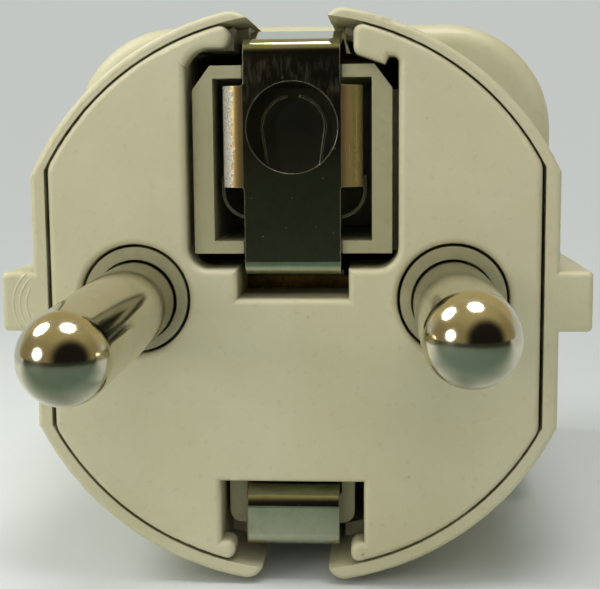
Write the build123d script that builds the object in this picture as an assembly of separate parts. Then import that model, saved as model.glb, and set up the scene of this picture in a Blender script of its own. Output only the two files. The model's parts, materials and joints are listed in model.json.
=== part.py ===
from build123d import *
import math
import os

# Travel adapter with an earthed two-pin plug of the hybrid pattern on its front and a
# multi-standard socket on its back. Millimetres. X to the right as one faces the pins,
# Y from the face into the body, Z up. The origin lies midway between the two pins, on
# the plane of the face.

# Pins
pin_spacing = 19.0
pin_radius = 2.4
pin_end_radius = 2.28
pin_reach = 19.0
pin_straight = 6.0
pin_root = 9.0
pin_root_radius = 2.2
pin_tail_radius = 1.6
pin_tail_head_radius = 2.2
pin_tail_head_height = 0.6
pin_drop = 0.12
pin_toe = 0.6
line_pin_lean = 1.3
neutral_pin_lean = -1.9

# Running and fitting clearances
fit_gap = 0.1
flat_gap = 0.2
seat_gap = 0.05
collar_gap = 0.17
tolerance = 0.01

# Drum of the plug, its rim and its guide ribs
drum_radius = 17.45
drum_half_width = 15.7
drum_length = 17.5
drum_wall = 1.6
rim_wall = 0.75
rim_flat_wall = 0.9
rim_drop = 0.15
rim_setback = 0.15
rim_round = 0.35
rib_height = 3.6
rib_ledge = 0.2
rib_round = 0.3
earth_slot_half_width = 2.0
earth_slot_round = 1.0
upper_left_slot_round = 1.6

# Head
head_side_ledge = 1.75
head_top_ledge = 0.2
head_corner = 7.7
head_length = 24.0
head_wall = 1.6
head_front_round = 1.4
head_back_round = 0.5
cover_rim_wall = 0.8

# Face insert
insert_depth = 3.0
insert_plate = 1.8
insert_skirt = 1.0
insert_edge_round = 0.4
insert_edge_share = 0.45
insert_corner_round = 1.5
insert_tip_round = 0.5
cutout_half_width = 6.28
cutout_bottom = 1.8
cutout_round = 1.3
arm_gap_half_width = 3.65
left_arm_depth = 1.8
left_arm_round = 1.5
right_arm_depth = 2.2
right_arm_drop = 0.65
right_notch_width = 0.8
right_notch_height = 0.45
right_notch_round = 0.35
stem_half_width = 3.33
stem_bottom = 0.02
lower_middle = -0.15
lower_cutout_half_width = 4.35
lower_cutout_height = 3.75
lower_lip_depth = 1.7
lower_lip_half_gap = 3.55

# Contact carrier
carrier_plate = 3.0
collar_wall = 0.65
collar_setback = 0.35
boss_wall = 1.5
box_half_width = 5.9
box_bottom = 2.7
box_top_gap = 0.6
box_chamfer_width = 1.05
box_chamfer_height = 1.4
box_side_wall = 1.2
box_end_wall = 0.75
box_front = 0.8
box_depth = 15.0
box_floor = 1.0
block_middle = -0.3
block_half_width = 3.9
block_lift = 0.57
block_front = 2.2
block_round = 0.75

# Folded earth strips
earth_sheet = 0.5
earth_half_width = 2.85
earth_face = 0.5
earth_bend = 0.6
lower_root_bend = 1.0
earth_hole_drop = 3.65
earth_hole_radius = 2.7
upper_leg_root = 1.65
upper_bend_inset = 2.45
lower_leg_root_drop = 0.8
lower_bend_inset = 2.4
leg_crest_depth = 8.0
leg_crest_inset = 1.3
leg_tail_depth = 16.8
leg_tail_drop = 0.75
leg_crest_radius = 6.0
foot_length = 2.7
wing_half_width = 4.18
wing_lift = 1.95
wing_top_drop = 1.2
wing_depth = 5.5
wing_bend = 1.13
wing_root_round = 0.3

# Cradle and split clamp for the earth pin
cradle_sheet = 0.18
cradle_lift = 2.0
cradle_lap = 0.6
cradle_front = 2.0
cradle_length = 9.0
cradle_bend = 1.6
clamp_sheet = 0.16
clamp_radius = 2.0
clamp_slit = 0.7
clamp_waist_drop = 2.8
clamp_waist_half_width = 1.5
clamp_foot_half_width = 1.3
clamp_front = 2.1
clamp_length = 8.0

# Inner conductors
bar_sheet = 0.6
bar_bend = 0.8
bridge_half_width = 3.3
link_half_width = 2.5
link_height = -3.3
link_top = 4.6
link_rivet_height = -5.4
contact_width = 7.0
contact_top = 3.2
contact_shelf = -5.0
leaf_sheet = 0.4
leaf_bend = 0.4
leaf_rivet_height = -7.2
leaf_top = -5.9
leaf_pinch_part = 0.55
jaw_opening = 3.9
jaw_mouth_rise = 1.1
jaw_slope = 0.15
clip_sheet = 0.5
clip_gap = 4.7
clip_pinch = 3.8
clip_straight_part = 0.5
clip_pinch_part = 0.85
clip_bottom = -1.5
clip_top_rise = 3.5
clip_rivet_height = 2.0
rivet_radius = 0.8
rivet_head_radius = 1.2
rivet_head_height = 0.5

# Socket side
cover_thickness = 3.0
plate_thickness = 0.9
socket_line_margin = 6.45
round_pin_hole_radius = 2.7
blade_offset = 11.1
blade_slot_width = 7.2
blade_slot_height = 4.6
narrow_blade_offset = 6.35
narrow_slot_width = 2.2
narrow_slot_height = 8.0
slanted_slot_offset = 6.86
slanted_slot_angle = 30.0
earth_blade_margin = 6.65
earth_blade_slot_height = 8.8
round_earth_above_line = 11.9
contact_inset = 1.5
barrier_offset = 4.4
barrier_wall = 1.0

# Case screws
screw_offset = 11.5
screw_height = 6.6
screw_radius = 1.45
screw_head_radius = 2.6
screw_head_height = 1.2
screw_sink = 0.6
screw_length = 25.5
screw_boss_wall = 0.7
screw_post_wall = 0.8
recess_length = 3.0
recess_width = 0.7
recess_depth = 0.8

# Worked out from the values above
pin_x = pin_spacing / 2
bore_radius = drum_radius - rim_wall
bore_half_width = drum_half_width - rim_flat_wall
insert_radius = bore_radius - fit_gap
insert_half_width = bore_half_width - flat_gap
body_length = drum_length + head_length
head_half_width = drum_half_width + head_side_ledge
head_half_height = drum_radius + head_top_ledge
rib_reach = head_half_width + rib_ledge
left_arm_lower = insert_radius - left_arm_depth
right_arm_lower = insert_radius - right_arm_depth
lower_lip_top = lower_lip_depth - insert_radius
lower_cutout_top = lower_lip_top + lower_cutout_height
box_top = right_arm_lower - box_top_gap
block_bottom = lower_lip_top + block_lift
earth_hole_height = box_top - earth_hole_drop
lower_leg_root = lower_cutout_top - lower_leg_root_drop
upper_bend_height = drum_radius - upper_bend_inset
lower_bend_height = lower_bend_inset - drum_radius
leg_crest_height = drum_radius - leg_crest_inset
leg_tail_height = leg_crest_height - leg_tail_drop
cradle_bottom = box_bottom + cradle_lift
wing_bottom = cradle_bottom + wing_lift
cradle_top = wing_bottom + cradle_lap
wing_top = box_top - wing_top_drop
clamp_waist_height = earth_hole_height - clamp_waist_drop
socket_line_height = socket_line_margin - head_half_height
earth_slot_height = head_half_height - earth_blade_margin
clip_top = earth_slot_height + clip_top_rise
cavity_front = drum_length + head_wall
cover_seat = body_length - cover_thickness
plate_back = cavity_front + plate_thickness
carrier_front = insert_depth
carrier_back = carrier_front + carrier_plate
collar_bore = pin_radius + fit_gap
collar_radius = collar_bore + collar_wall
root_bore = pin_root_radius + fit_gap
pin_hole_radius = collar_radius + collar_gap
side_web = insert_half_width - pin_x - pin_hole_radius
corner_x = cutout_half_width - cutout_round
corner_z = cutout_bottom + cutout_round
cutout_web = math.hypot(pin_x - corner_x, corner_z) - cutout_round - pin_hole_radius
narrowest_web = min(side_web, cutout_web)
boss_radius = root_bore + boss_wall
contact_front = pin_root + fit_gap
strip_gap = earth_half_width + fit_gap
channel_half_width = earth_half_width + 2 * fit_gap
channel_height = leg_crest_height + earth_sheet / 2 + 2 * fit_gap
bar_plane = plate_back + bar_sheet / 2
jaw_height = socket_line_height - jaw_opening / 2 - bar_sheet / 2
contact_end = cover_seat - contact_inset
screw_boss_radius = screw_radius + seat_gap + screw_boss_wall
screw_post_radius = screw_radius + fit_gap + screw_post_wall
round_earth_height = socket_line_height + round_earth_above_line


def at_depth(depth):
    """Sketch plane across the body: local x is X, local y is Z."""
    return Plane(origin=(0, depth, 0), x_dir=(1, 0, 0), z_dir=(0, -1, 0))


def slab(outline, front, back):
    """Plate of the given outline between two depths."""
    return extrude(at_depth(front) * outline, amount=front - back)


def round_with_flats(radius, half_width):
    return Circle(radius) & Rectangle(2 * half_width, 2 * radius + 1)


def rounded_square(inset):
    """Outline of the head, moved in by a wall."""
    return RectangleRounded(
        2 * (head_half_width - inset), 2 * (head_half_height - inset), head_corner - inset
    )


def window(half_width, bottom, top, middle=0.0):
    return Pos(middle, (bottom + top) / 2) * Rectangle(2 * half_width, top - bottom)


def rod(x, z, radius, front, back):
    return slab(Pos(x, z) * Circle(radius), front, back)


def side_strip(points, radii, sheet, half_width, middle=0.0):
    """Sheet folded along a side profile of (depth, height) points, of even width in X."""
    path = FilletPolyline(*points, radius=radii)
    profile = Plane.YZ.offset(middle) * trace(path, line_width=sheet)
    return extrude(profile, amount=half_width, both=True)


def plan_strip(points, radii, sheet, bottom, top):
    """Sheet folded along a plan of (x, depth) points, of even height."""
    path = FilletPolyline(*points, radius=radii)
    profile = Plane.XY.offset(bottom) * trace(path, line_width=sheet)
    return extrude(profile, amount=top - bottom)


def lean(shape, x, angle):
    """Tips a piece of a pin about the point where its axis meets the face, and turns it inwards."""
    return Pos(x, 0, -pin_drop) * Rot(angle, 0, math.copysign(pin_toe, -x)) * shape


def pin_axis_rod(x, angle, radius, front, back):
    return lean(rod(0, 0, radius, front, back), x, angle)


def same(one, other):
    return abs(one - other) < tolerance


def both_sides(make):
    """The same feature on the right and on the left."""
    return make(1) + make(-1)


def outer_shell():
    outline = Sketch() + Pos(0, -rim_drop) * round_with_flats(drum_radius, drum_half_width)
    outline -= window(earth_slot_half_width, insert_radius / 2, drum_radius + 1)
    outline -= window(earth_slot_half_width, -drum_radius - 1, -insert_radius / 2)
    lips = outline.vertices().filter_by(lambda v: abs(v.Y) > bore_radius and abs(v.X) < cutout_half_width)
    upper_left = lips.sort_by(Axis.Y)[-2:].sort_by(Axis.X)[0]
    outline = fillet(upper_left, upper_left_slot_round)
    lips = outline.vertices().filter_by(lambda v: same(abs(v.X), earth_slot_half_width))
    lips = lips.filter_by(lambda v: v.Y < -bore_radius or (v.Y > bore_radius and v.X > 0))
    drum = slab(fillet(lips, earth_slot_round), rim_setback, drum_length)
    rib_outline = Pos(0, -rim_drop) * Rectangle(2 * rib_reach, rib_height)
    ribs = slab(rib_outline, rim_setback, drum_length + head_front_round)
    long_edges = ribs.edges().filter_by(Axis.Y)
    drum += fillet(long_edges, rib_round)
    drum = fillet(drum.faces().sort_by(Axis.Y)[0].edges(), rim_round)

    head = slab(rounded_square(0), drum_length, body_length)
    head = fillet(head.faces().sort_by(Axis.Y)[0].edges(), head_front_round)
    head = fillet(head.faces().sort_by(Axis.Y)[-1].edges(), head_back_round)

    shell = drum + head
    shell -= slab(round_with_flats(bore_radius, bore_half_width), 0, carrier_back)
    inner = round_with_flats(drum_radius - drum_wall, drum_half_width - drum_wall)
    shell -= slab(inner, carrier_back, cavity_front)
    shell -= slab(rounded_square(head_wall), cavity_front, cover_seat)
    shell -= slab(rounded_square(cover_rim_wall), cover_seat, body_length)

    channel = window(channel_half_width, insert_radius / 2, channel_height)
    channel += window(channel_half_width, -channel_height, -insert_radius / 2, lower_middle)
    return shell - slab(channel, carrier_back, drum_length)


def face_insert():
    outline = Sketch() + round_with_flats(insert_radius, insert_half_width)
    outline = fillet(outline.vertices(), insert_corner_round)
    outline -= both_sides(lambda side: Pos(side * pin_x, 0) * Circle(pin_hole_radius))

    middle = window(cutout_half_width, cutout_bottom, right_arm_lower - right_arm_drop)
    low_corners = middle.vertices().sort_by(Axis.Y)[:2]
    middle = fillet(low_corners, cutout_round)
    outline -= middle

    above = right_arm_lower - right_arm_drop - left_arm_round
    left_top = window(
        cutout_half_width / 2, above, left_arm_lower, middle=-cutout_half_width / 2
    )
    left_top = fillet(left_top.vertices().sort_by(Axis.Y)[2:].sort_by(Axis.X)[0], left_arm_round)
    notch_left = cutout_half_width - right_notch_width
    right_top = make_face(
        Polyline(
            (0, above),
            (cutout_half_width, above),
            (cutout_half_width, right_arm_lower - right_arm_drop + right_notch_height),
            (notch_left + right_notch_height / 2, right_arm_lower - right_arm_drop + right_notch_height),
            (notch_left, right_arm_lower - right_arm_drop),
            (arm_gap_half_width, right_arm_lower),
            (0, right_arm_lower),
            close=True,
        )
    )
    notch_top = right_top.vertices().sort_by(Axis.X)[-2:].sort_by(Axis.Y)[-1]
    right_top = fillet(notch_top, right_notch_round)
    outline -= left_top + right_top
    outline -= window(arm_gap_half_width, left_arm_lower - 1, drum_radius + 1)
    outline -= window(stem_half_width, stem_bottom, cutout_bottom + 1)
    outline -= window(lower_cutout_half_width, lower_lip_top, lower_cutout_top, lower_middle)
    outline -= window(lower_lip_half_gap, -drum_radius - 1, lower_lip_top + 1, lower_middle)
    arm_tips = outline.vertices().filter_by(lambda v: same(abs(v.X), arm_gap_half_width))
    lip_tips = outline.vertices().filter_by(lambda v: same(abs(v.X - lower_middle), lower_lip_half_gap))
    outline = fillet(arm_tips + lip_tips, insert_tip_round)

    skirt = insert_skirt
    hollow = Sketch() + round_with_flats(insert_radius - skirt, insert_half_width - skirt)
    hollow -= both_sides(lambda side: Pos(side * pin_x, 0) * Circle(pin_hole_radius + skirt))
    hollow -= window(cutout_half_width + skirt, cutout_bottom - skirt, drum_radius)
    hollow -= window(stem_half_width + skirt, stem_bottom - skirt, cutout_bottom)
    lower_skirt = lower_cutout_half_width + skirt
    hollow -= window(lower_skirt, -drum_radius, lower_cutout_top + skirt, lower_middle)
    hollow += window(cutout_half_width, right_arm_lower - right_arm_drop, drum_radius)
    hollow += window(lower_cutout_half_width, -drum_radius, lower_lip_top, lower_middle)

    insert = slab(outline, 0, insert_depth)
    insert -= slab(hollow, insert_plate, insert_depth)
    front = insert.faces().sort_by(Axis.Y)[0]
    return fillet(front.edges(), min(insert_edge_round, insert_edge_share * narrowest_web))


def earth_box():
    """Walls round the earth hole, with chamfered upper corners."""
    shoulder = box_top - box_chamfer_height
    top_half_width = box_half_width - box_chamfer_width
    outer = make_face(
        Polyline(
            (-box_half_width, box_bottom),
            (box_half_width, box_bottom),
            (box_half_width, shoulder),
            (top_half_width, box_top),
            (-top_half_width, box_top),
            (-box_half_width, shoulder),
            close=True,
        )
    )
    inner = window(
        box_half_width - box_side_wall, box_bottom + box_end_wall, box_top - box_end_wall
    )
    return outer, inner


def contact_carrier():
    outer, inner = earth_box()
    block_top = lower_cutout_top - fit_gap
    block = window(block_half_width, block_bottom, block_top, block_middle)
    block = fillet(block.vertices().sort_by(Axis.Y)[:2], block_round)

    plate = Sketch() + round_with_flats(insert_radius, bore_half_width - fit_gap)
    plate -= window(arm_gap_half_width, box_top, drum_radius + 1)
    plate -= window(cutout_half_width, box_top - box_chamfer_height, left_arm_lower)
    plate -= window(cutout_half_width, cutout_bottom, box_bottom)
    plate -= window(stem_half_width, stem_bottom, box_bottom)
    plate -= window(lower_cutout_half_width, -drum_radius - 1, block_top, lower_middle)
    leg_slot_bottom = lower_leg_root - earth_sheet
    leg_slot = window(strip_gap, leg_slot_bottom, lower_leg_root + earth_sheet, lower_middle)
    carrier = slab(plate + block - leg_slot, carrier_front, carrier_back)
    carrier += slab(block - leg_slot, block_front, carrier_front)

    carrier += slab(outer, box_front, box_depth)
    carrier -= slab(inner, 0, box_depth - box_floor)
    strip_seat = window(strip_gap, box_bottom - 1, box_top + 1)
    carrier -= slab(strip_seat, 0, earth_face + earth_sheet + fit_gap)

    for side, angle in ((-1, line_pin_lean), (1, neutral_pin_lean)):
        carrier += rod(side * pin_x, 0, collar_radius, collar_setback, carrier_front)
        carrier += rod(side * pin_x, 0, boss_radius, carrier_back, pin_root)
        carrier += rod(side * screw_offset, screw_height, screw_boss_radius, carrier_back, plate_back)
        carrier -= pin_axis_rod(side * pin_x, angle, collar_bore, -1, carrier_front)
        carrier -= pin_axis_rod(side * pin_x, angle, root_bore, 0, pin_root + 1)
        carrier -= rod(
            side * screw_offset, screw_height, screw_radius + seat_gap, carrier_back, plate_back
        )
    recess = rivet_head_height + 2 * fit_gap
    carrier -= rod(0, link_rivet_height, rivet_head_radius + fit_gap, carrier_back - recess, carrier_back)
    return carrier


def plug_pin(side, angle):
    """Solid pin that tapers to a round end, with a tail peened over its contact."""
    end_middle = pin_end_radius - pin_reach
    taper = Cone(
        bottom_radius=pin_radius,
        top_radius=pin_end_radius,
        height=-pin_straight - end_middle,
        align=(Align.CENTER, Align.CENTER, Align.MIN),
    )
    shank = rod(0, 0, pin_radius, -pin_straight, 0) + rod(0, 0, pin_root_radius, 0, pin_root)
    shank += Pos(0, -pin_straight, 0) * Rot(90, 0, 0) * taper
    end = Pos(0, end_middle, 0) * Sphere(pin_end_radius)
    back_of_contact = contact_front + bar_sheet + fit_gap
    tail = rod(0, 0, pin_tail_radius, pin_root, back_of_contact + pin_tail_head_height)
    head = rod(0, 0, pin_tail_head_radius, back_of_contact, back_of_contact + pin_tail_head_height)
    return lean(shank + end + tail + head, side * pin_x, angle)


def earth_leg(sign, bend_height):
    """Points of the bowed leg that the socket's earth spring presses on."""
    face_plane = earth_face + earth_sheet / 2
    return [
        (face_plane, bend_height),
        (leg_crest_depth, sign * leg_crest_height),
        (leg_tail_depth, sign * leg_tail_height),
    ]


def upper_earth_strip():
    face_plane = earth_face + earth_sheet / 2
    foot_plane = carrier_back + bar_sheet + earth_sheet / 2
    points = [
        (foot_plane, upper_leg_root - foot_length),
        (foot_plane, upper_leg_root),
        (face_plane, upper_leg_root),
        *earth_leg(1, upper_bend_height),
    ]
    radii = [earth_bend, earth_bend, earth_bend, leg_crest_radius]
    strip = side_strip(points, radii, earth_sheet, earth_half_width)

    wing_plane = wing_half_width - earth_sheet / 2
    wings = plan_strip(
        [
            (-wing_plane, wing_depth),
            (-wing_plane, face_plane),
            (wing_plane, face_plane),
            (wing_plane, wing_depth),
        ],
        wing_bend,
        earth_sheet,
        wing_bottom,
        wing_top,
    )
    strip += wings
    roots = (
        strip.edges()
        .filter_by(Axis.Y)
        .filter_by(lambda e: same(abs(e.center().X), earth_half_width))
        .filter_by(lambda e: wing_bottom - tolerance < e.center().Z < wing_top + tolerance)
    )
    strip = fillet(roots, wing_root_round)
    return strip - rod(0, earth_hole_height, earth_hole_radius, 0, cradle_front)


def lower_earth_strip():
    face_plane = earth_face + earth_sheet / 2
    foot_plane = carrier_back + bar_sheet + earth_sheet / 2
    points = [
        (foot_plane, lower_leg_root + foot_length),
        (foot_plane, lower_leg_root),
        (face_plane, lower_leg_root),
        *earth_leg(-1, lower_bend_height),
    ]
    radii = [earth_bend, lower_root_bend, earth_bend, leg_crest_radius]
    return side_strip(points, radii, earth_sheet, earth_half_width, lower_middle)


def earth_cradle():
    """U of thin sheet that holds the clamp between the strip's wings."""
    half = wing_half_width + cradle_sheet / 2
    low = cradle_bottom + cradle_sheet / 2
    path = FilletPolyline(
        (-half, cradle_top), (-half, low), (half, low), (half, cradle_top), radius=cradle_bend
    )
    return slab(trace(path, line_width=cradle_sheet), cradle_front, cradle_front + cradle_length)


def earth_clamp():
    """Two jaws round the earth pin, open above, on a foot that lies in the cradle."""
    radius = clamp_radius - clamp_sheet / 2
    slit_angle = math.degrees(math.asin(clamp_slit / 2 / radius))
    foot = cradle_bottom + cradle_sheet + clamp_sheet / 2
    jaw = CenterArc((0, earth_hole_height), radius, 90 + slit_angle, 90 - slit_angle)
    side = FilletPolyline(
        (-radius, earth_hole_height),
        (-clamp_waist_half_width, clamp_waist_height),
        (-clamp_foot_half_width, foot),
        (0, foot),
        radius=clamp_sheet,
    )
    half = trace(jaw + side, line_width=clamp_sheet)
    return slab(half + mirror(half, Plane.YZ), clamp_front, clamp_front + clamp_length)


def rivet(x, z, front, back):
    """Rivet whose heads bear on both faces of a stack of sheets."""
    shank = rod(x, z, rivet_radius, front, back)
    front_head = rod(x, z, rivet_head_radius, front - rivet_head_height, front)
    back_head = rod(x, z, rivet_head_radius, back, back + rivet_head_height)
    return shank + front_head + back_head


def rivet_hole(x, z, depth):
    return rod(x, z, rivet_radius + seat_gap, depth - 2, depth + 2)


def earth_bridge():
    top = upper_leg_root - earth_sheet / 2 - earth_bend
    bottom = lower_leg_root + earth_sheet / 2 + earth_bend
    bar = slab(window(bridge_half_width, bottom, top), carrier_back, carrier_back + bar_sheet)
    return bar - rivet_hole(0, link_rivet_height, carrier_back)


def earth_link():
    foot_plane = carrier_back + 1.5 * bar_sheet
    points = [
        (foot_plane, 2 * link_rivet_height - link_height),
        (foot_plane, link_height),
        (bar_plane, link_height),
        (bar_plane, link_top),
    ]
    link = side_strip(points, bar_bend, bar_sheet, link_half_width)
    link -= rivet_hole(0, link_rivet_height, foot_plane)
    return link - rivet_hole(0, clip_rivet_height, bar_plane)


def socket_earth_clip():
    """U-shaped clip whose two leaves pinch the earth blade near the aperture."""
    base = plate_back + bar_sheet + clip_sheet / 2
    wide = clip_gap / 2 + clip_sheet / 2
    pinch = clip_pinch / 2 + clip_sheet / 2
    reach = contact_end - base
    straight_end = base + clip_straight_part * reach
    pinch_place = base + clip_pinch_part * reach
    leaf = [(wide, base), (wide, straight_end), (pinch, pinch_place), (wide, contact_end)]
    points = [(-x, y) for x, y in reversed(leaf)] + leaf
    radii = [leaf_bend, leaf_bend, leaf_bend, leaf_bend, leaf_bend, leaf_bend]
    clip = plan_strip(points, radii, clip_sheet, clip_bottom, clip_top)
    return clip - rivet_hole(0, clip_rivet_height, base)


def pole_contact(side, angle):
    """Brass bar from a pin's tail to the lower jaw of the socket."""
    root_plane = contact_front + bar_sheet / 2
    points = [
        (root_plane, contact_top),
        (root_plane, contact_shelf),
        (bar_plane, contact_shelf),
        (bar_plane, jaw_height),
        (contact_end, jaw_height),
    ]
    bar = side_strip(points, bar_bend, bar_sheet, contact_width / 2, side * pin_x)
    tail_hole = pin_tail_radius + fit_gap
    bar -= pin_axis_rod(side * pin_x, angle, tail_hole, contact_front - 1, contact_front + 2)
    return bar - rivet_hole(side * pin_x, leaf_rivet_height, bar_plane)


def pole_spring(side):
    """Leaf that presses a plug's pin on the lower jaw."""
    foot_plane = plate_back + bar_sheet + leaf_sheet / 2
    jaw = jaw_height + bar_sheet / 2 + jaw_opening + leaf_sheet / 2
    reach = contact_end - foot_plane
    points = [
        (foot_plane, leaf_top),
        (foot_plane, jaw + jaw_slope),
        (foot_plane + leaf_pinch_part * reach, jaw),
        (contact_end, jaw + jaw_mouth_rise),
    ]
    leaf = side_strip(points, leaf_bend, leaf_sheet, contact_width / 2, side * pin_x)
    return leaf - rivet_hole(side * pin_x, leaf_rivet_height, foot_plane)


def insulating_plate():
    outline = Sketch() + rounded_square(head_wall + fit_gap)
    for side in (1, -1):
        outline -= Pos(side * screw_offset, screw_height) * Circle(screw_boss_radius + fit_gap)
        outline -= window(
            contact_width / 2 + fit_gap,
            contact_shelf - bar_bend,
            contact_shelf + bar_sheet,
            middle=side * pin_x,
        )
        outline -= Pos(side * pin_x, leaf_rivet_height) * Circle(rivet_head_radius + fit_gap)
    outline -= window(link_half_width + fit_gap, link_height - bar_sheet, link_height + bar_bend)
    outline -= Pos(0, clip_rivet_height) * Circle(rivet_head_radius + fit_gap)
    return slab(outline, cavity_front, plate_back)


def pole_aperture(side):
    """Joined openings for round pins and for the three kinds of flat blade."""
    opening = Sketch() + Pos(side * pin_x, 0) * Circle(round_pin_hole_radius)
    opening += Pos(side * blade_offset, 0) * Rectangle(blade_slot_width, blade_slot_height)
    opening += Pos(side * narrow_blade_offset, 0) * Rectangle(narrow_slot_width, narrow_slot_height)
    slanted = Rectangle(narrow_slot_width, narrow_slot_height)
    opening += Pos(side * slanted_slot_offset, 0) * Rot(0, 0, side * slanted_slot_angle) * slanted
    return Pos(0, socket_line_height) * opening


def earth_aperture():
    blade_slot = Pos(0, earth_slot_height) * Rectangle(blade_slot_height, earth_blade_slot_height)
    round_hole = Pos(0, round_earth_height) * Circle(round_pin_hole_radius)
    neck = window(narrow_slot_width / 2, round_earth_height - narrow_slot_height / 2, earth_slot_height)
    return blade_slot + round_hole + neck


def socket_cover():
    cover = slab(rounded_square(cover_rim_wall + fit_gap), cover_seat, body_length)
    cover = chamfer(cover.faces().sort_by(Axis.Y)[-1].edges(), 2 * fit_gap)
    for side in (1, -1):
        cover += rod(
            side * screw_offset, screw_height, screw_post_radius, plate_back + seat_gap, cover_seat
        )
        barrier = window(
            barrier_wall / 2,
            fit_gap + head_wall - head_half_height,
            head_half_height - head_wall - fit_gap,
            middle=side * barrier_offset,
        )
        cover += slab(barrier, plate_back + seat_gap, cover_seat)
        cover -= slab(pole_aperture(side), cover_seat - 1, body_length + 1)
        cover -= rod(
            side * screw_offset, screw_height, screw_radius + fit_gap, plate_back, body_length
        )
        cover -= Pos(side * screw_offset, 0, screw_height) * screw_head(fit_gap)
        sink = screw_head_radius + fit_gap
        cover -= rod(side * screw_offset, screw_height, sink, body_length - screw_sink, body_length)
    return cover - slab(earth_aperture(), cover_seat - 1, body_length + 1)


def screw_head(gap):
    """Countersunk head, grown by a gap when it cuts its seat."""
    back = body_length - screw_sink
    front = back - screw_head_height
    cone = Cone(
        bottom_radius=screw_head_radius + gap,
        top_radius=screw_radius + gap,
        height=back - front,
        align=(Align.CENTER, Align.CENTER, Align.MIN),
    )
    return Pos(0, back, 0) * Rot(90, 0, 0) * cone


def case_screw(side):
    """Long countersunk screw with a crossed recess."""
    back = body_length - screw_sink
    tip = back - screw_length
    screw = screw_head(0) + rod(0, 0, screw_radius, tip, back - screw_head_height)
    screw = chamfer(screw.faces().sort_by(Axis.Y)[0].edges(), screw_radius / 3)
    arm = Rectangle(recess_length, recess_width)
    screw -= slab(arm + Rot(0, 0, 90) * arm, back - recess_depth, back)
    return Pos(side * screw_offset, 0, screw_height) * screw


def contact_rivets():
    foot_back = carrier_back + 2 * bar_sheet
    spring_back = plate_back + bar_sheet + leaf_sheet
    clip_back = plate_back + bar_sheet + clip_sheet
    return [
        rivet(0, link_rivet_height, carrier_back, foot_back),
        rivet(0, clip_rivet_height, plate_back, clip_back),
        rivet(pin_x, leaf_rivet_height, plate_back, spring_back),
        rivet(-pin_x, leaf_rivet_height, plate_back, spring_back),
    ]


nodes = {
    "outer_shell": outer_shell(),
    "face_insert": face_insert(),
    "contact_carrier": contact_carrier(),
    "line_pin": plug_pin(-1, line_pin_lean),
    "neutral_pin": plug_pin(1, neutral_pin_lean),
    "upper_earth_strip": upper_earth_strip(),
    "lower_earth_strip": lower_earth_strip(),
    "earth_cradle": earth_cradle(),
    "earth_clamp": earth_clamp(),
    "earth_bridge": earth_bridge(),
    "earth_link": earth_link(),
    "socket_earth_clip": socket_earth_clip(),
    "line_contact": pole_contact(-1, line_pin_lean),
    "neutral_contact": pole_contact(1, neutral_pin_lean),
    "line_spring": pole_spring(-1),
    "neutral_spring": pole_spring(1),
    "insulating_plate": insulating_plate(),
    "socket_cover": socket_cover(),
    "case_screws": Compound([s for side in (-1, 1) for s in case_screw(side).solids()]),
    "contact_rivets": Compound([s for piece in contact_rivets() for s in piece.solids()]),
}

os.makedirs("parts", exist_ok=True)
for name, shape in nodes.items():
    export_step(shape, f"parts/{name}.step")
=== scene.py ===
# %% [markdown]
# # Dressing a travel plug adapter
#
# The adapter is a round two-pin plug with an earth hole on the front of a rounded-square
# head. Its construction was drawn in CAD: twenty pieces, each with its real size and
# place. Here those pieces get the finish of the real ones, a few of them are modelled
# anew because a mirror-bright surface shows every facet, and the whole is lit and framed.
#
# The first lines load the packed CAD model. Its objects sit at the origin with their
# place in their meshes, so nothing here has to be fitted or moved.

# %% Load the packed model
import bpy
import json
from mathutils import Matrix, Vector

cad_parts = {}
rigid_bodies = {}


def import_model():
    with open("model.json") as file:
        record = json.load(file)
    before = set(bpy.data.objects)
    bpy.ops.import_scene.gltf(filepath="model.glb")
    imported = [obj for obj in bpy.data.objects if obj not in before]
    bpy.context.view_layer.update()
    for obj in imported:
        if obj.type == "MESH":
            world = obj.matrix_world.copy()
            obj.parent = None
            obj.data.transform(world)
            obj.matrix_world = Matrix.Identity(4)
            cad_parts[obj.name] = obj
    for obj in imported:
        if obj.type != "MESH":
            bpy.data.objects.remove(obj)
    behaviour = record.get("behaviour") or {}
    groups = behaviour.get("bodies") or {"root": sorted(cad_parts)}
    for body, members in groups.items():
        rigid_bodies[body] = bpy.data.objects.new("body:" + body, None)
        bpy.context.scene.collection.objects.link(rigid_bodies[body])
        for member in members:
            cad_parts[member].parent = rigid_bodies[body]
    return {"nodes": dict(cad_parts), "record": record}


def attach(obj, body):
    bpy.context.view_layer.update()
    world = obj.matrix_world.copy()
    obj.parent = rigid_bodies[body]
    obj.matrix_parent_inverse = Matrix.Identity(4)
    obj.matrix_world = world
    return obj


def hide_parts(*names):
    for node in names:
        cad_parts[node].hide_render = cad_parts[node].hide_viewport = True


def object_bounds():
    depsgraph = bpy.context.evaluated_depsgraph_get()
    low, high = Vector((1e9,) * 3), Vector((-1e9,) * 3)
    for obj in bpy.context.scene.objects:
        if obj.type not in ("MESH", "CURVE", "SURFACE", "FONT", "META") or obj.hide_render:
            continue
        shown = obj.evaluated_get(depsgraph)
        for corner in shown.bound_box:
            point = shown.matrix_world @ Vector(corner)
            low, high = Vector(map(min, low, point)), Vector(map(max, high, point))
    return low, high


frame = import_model()

cad_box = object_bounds()
print("CAD nodes:", len(frame["nodes"]))
print("CAD box in mm:", [[round(1000 * c, 2) for c in corner] for corner in cad_box])

# %% Modules and units
import json
import math
import bmesh
import bpy
from mathutils import Matrix, Vector

MM = 0.001
nodes = frame["nodes"]
record = frame["record"]
print("one unit of the frame is", round(1 / MM), "mm")

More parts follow.
